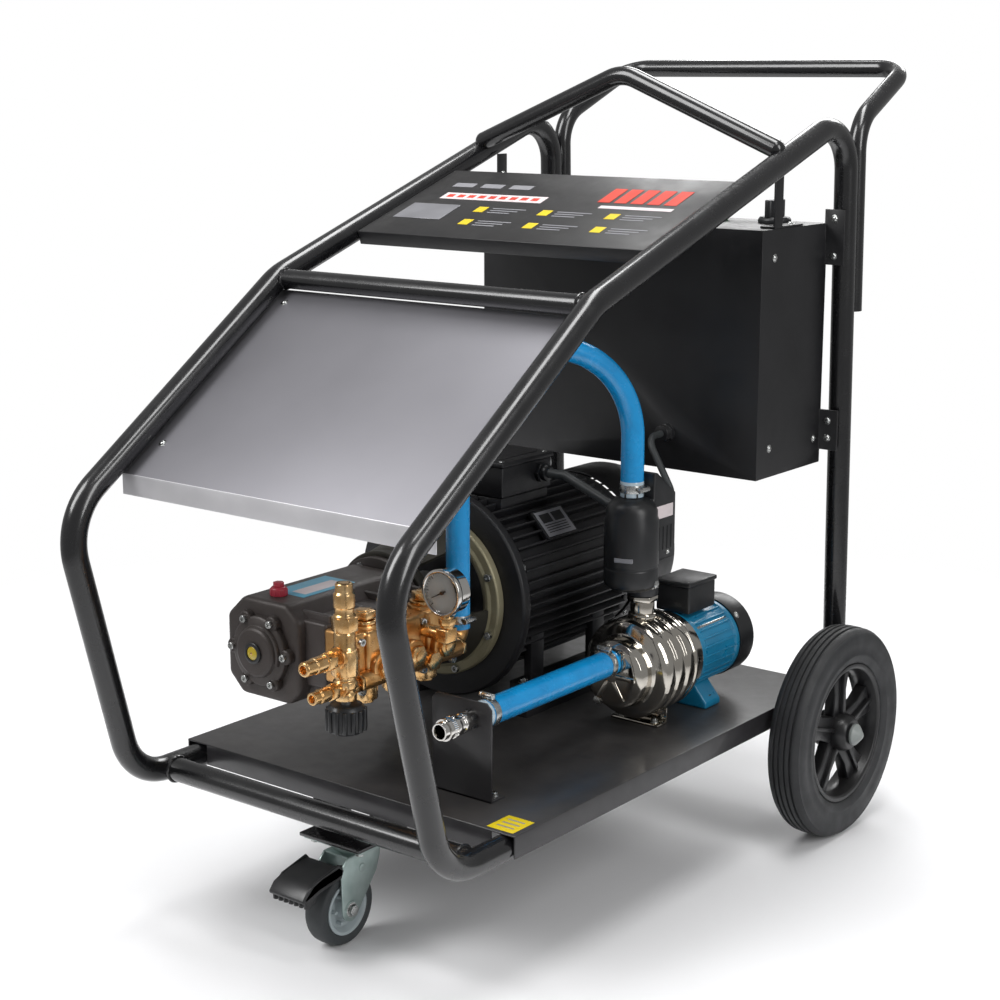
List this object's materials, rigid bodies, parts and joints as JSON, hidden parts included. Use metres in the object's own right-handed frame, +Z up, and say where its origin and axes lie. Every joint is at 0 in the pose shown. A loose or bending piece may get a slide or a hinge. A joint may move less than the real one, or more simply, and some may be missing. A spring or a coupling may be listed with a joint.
{
  "type": "pressure washer",
  "caption": "Electric pressure washer on a three-wheeled black tube cart: motor-driven plunger pump with brass head, booster pump, control box and push handle.",
  "frame": {"origin": "on the floor under the middle of the machine", "axes": "+Z up, +Y towards the push handle, +X to the right of the machine"},
  "size_m": [0.734, 1.231, 1.1312],
  "materials": {
    "frame_paint": "gloss black powder coat on bent tube",
    "sheet_paint": "satin black powder coat on folded sheet",
    "motor_paint": "black paint on finned casting",
    "cover_steel": "brushed stainless sheet",
    "booster_steel": "polished stainless pressing",
    "machined_steel": "machined steel",
    "caster_zinc": "zinc plated pressed steel",
    "chrome": "chrome plate",
    "head_brass": "forged brass",
    "bell_cast": "olive painted casting",
    "pump_cast": "dark grey painted casting",
    "tyre": "grooved solid rubber",
    "rim_plastic": "black moulded rim",
    "caster_rubber": "solid rubber tread",
    "hub_plastic": "grey moulded hub",
    "black_plastic": "black moulded plastic",
    "hose": "blue reinforced hose",
    "booster_paint": "blue paint on aluminium",
    "sight_glass": "yellow sight glass",
    "filler_cap": "red cap",
    "start_green": "green button",
    "stop_red": "red button",
    "cable": "black cable sheath"
  },
  "bodies": {
    "cart": {"left_side_hoop": "frame_paint", "right_side_hoop": "frame_paint", "front_cross_tube": "frame_paint", "panel_cross_tube": "frame_paint", "lifting_arch": "frame_paint", "push_handle": "frame_paint", "base_tray": "sheet_paint", "caster_pedestal": "frame_paint", "rear_axle": "machined_steel", "caster_plate": "caster_zinc", "front_cover": "cover_steel", "control_panel": "sheet_paint", "control_box": "sheet_paint", "box_back_cover": "sheet_paint", "box_hanger_left": "sheet_paint", "box_hanger_right": "sheet_paint", "motor_housing": "motor_paint", "motor_flange": "motor_paint", "motor_rear_shield": "motor_paint", "fan_cowl": "motor_paint", "terminal_box": "motor_paint", "bell_housing": "bell_cast", "pump_crankcase": "pump_cast", "pump_end_cover": "pump_cast", "oil_sight_glass": "sight_glass", "oil_filler_cap": "filler_cap", "pump_head": "head_brass", "unloader_valve": "head_brass", "gauge_case": "chrome", "inlet_coupling": "chrome", "suction_hose": "hose", "feed_hose": "hose", "booster_body": "booster_steel", "booster_motor": "booster_paint", "booster_fan_cover": "black_plastic", "booster_terminal_box": "black_plastic", "pump_controller": "black_plastic", "motor_cable": "cable", "controller_cable": "cable"},
    "left_wheel": {"left_tyre": "tyre", "left_rim": "rim_plastic"},
    "right_wheel": {"right_tyre": "tyre", "right_rim": "rim_plastic"},
    "caster_swivel": {"caster_fork": "caster_zinc", "caster_axle": "machined_steel"},
    "caster_wheel": {"caster_tyre": "caster_rubber", "caster_hub": "hub_plastic"},
    "caster_brake": {"caster_brake_pedal": "black_plastic"},
    "drive_shaft": {"motor_rotor": "machined_steel", "motor_fan": "black_plastic", "shaft_coupling": "machined_steel", "crankshaft": "machined_steel"},
    "booster_shaft": {"booster_rotor": "machined_steel"},
    "unloader": {"unloader_knob": "black_plastic"},
    "needle": {"gauge_needle": "black_plastic"},
    "sleeve": {"coupling_sleeve": "chrome"},
    "start": {"start_button": "start_green"},
    "stop": {"stop_button": "stop_red"},
    "switch_knob": {"main_switch_knob": "black_plastic"}
  },
  "joints": [
    {"name": "left_wheel_spin", "type": "hinge", "parent": "cart", "child": "left_wheel", "pos_m": [-0.32, 0.3293, 0.1575], "axis": [1, 0, 0], "continuous": true},
    {"name": "right_wheel_spin", "type": "hinge", "parent": "cart", "child": "right_wheel", "pos_m": [0.32, 0.3293, 0.1575], "axis": [1, 0, 0], "continuous": true},
    {"name": "caster_swivel_turn", "type": "hinge", "parent": "cart", "child": "caster_swivel", "pos_m": [0, -0.3787, 0.128], "axis": [0, 0, 1], "continuous": true},
    {"name": "caster_wheel_spin", "type": "hinge", "parent": "caster_swivel", "child": "caster_wheel", "pos_m": [0, -0.4087, 0.051], "axis": [1, 0, 0], "continuous": true},
    {"name": "caster_brake_press", "type": "hinge", "parent": "caster_swivel", "child": "caster_brake", "pos_m": [0, -0.4347, 0.113], "axis": [1, 0, 0], "range_deg": [0, 8]},
    {"name": "drive_shaft_spin", "type": "hinge", "parent": "cart", "child": "drive_shaft", "pos_m": [-0.09, 0.0233, 0.39], "axis": [0, 1, 0], "continuous": true},
    {"name": "booster_shaft_spin", "type": "hinge", "parent": "cart", "child": "booster_shaft", "pos_m": [0.162, 0.1233, 0.3], "axis": [0, 1, 0], "continuous": true},
    {"name": "unloader_knob_turn", "type": "hinge", "parent": "cart", "child": "unloader", "pos_m": [0.068, -0.4617, 0.34], "axis": [0, 0, 1], "range_deg": [-180, 540]},
    {"name": "gauge_needle_turn", "type": "hinge", "parent": "cart", "child": "needle", "pos_m": [0.104, -0.3207, 0.471], "axis": [0, 1, 0], "range_deg": [0, 270], "stiffness_Nm_per_rad": 0.001},
    {"name": "coupling_sleeve_slide", "type": "slide", "parent": "cart", "child": "sleeve", "axis": [0, 1, 0], "range_m": [0, 0.007], "stiffness_N_per_m": 600, "springref_m": -0.002},
    {"name": "start_button_press", "type": "slide", "parent": "cart", "child": "start", "axis": [0, 0, -1], "range_m": [0, 0.003], "stiffness_N_per_m": 500, "springref_m": -0.001},
    {"name": "stop_button_press", "type": "slide", "parent": "cart", "child": "stop", "axis": [0, 0, -1], "range_m": [0, 0.003], "stiffness_N_per_m": 500, "springref_m": -0.001},
    {"name": "main_switch_turn", "type": "hinge", "parent": "cart", "child": "switch_knob", "pos_m": [0.186, 0.3393, 0.91], "axis": [0, 0, -1], "range_deg": [0, 90]}
  ]
}
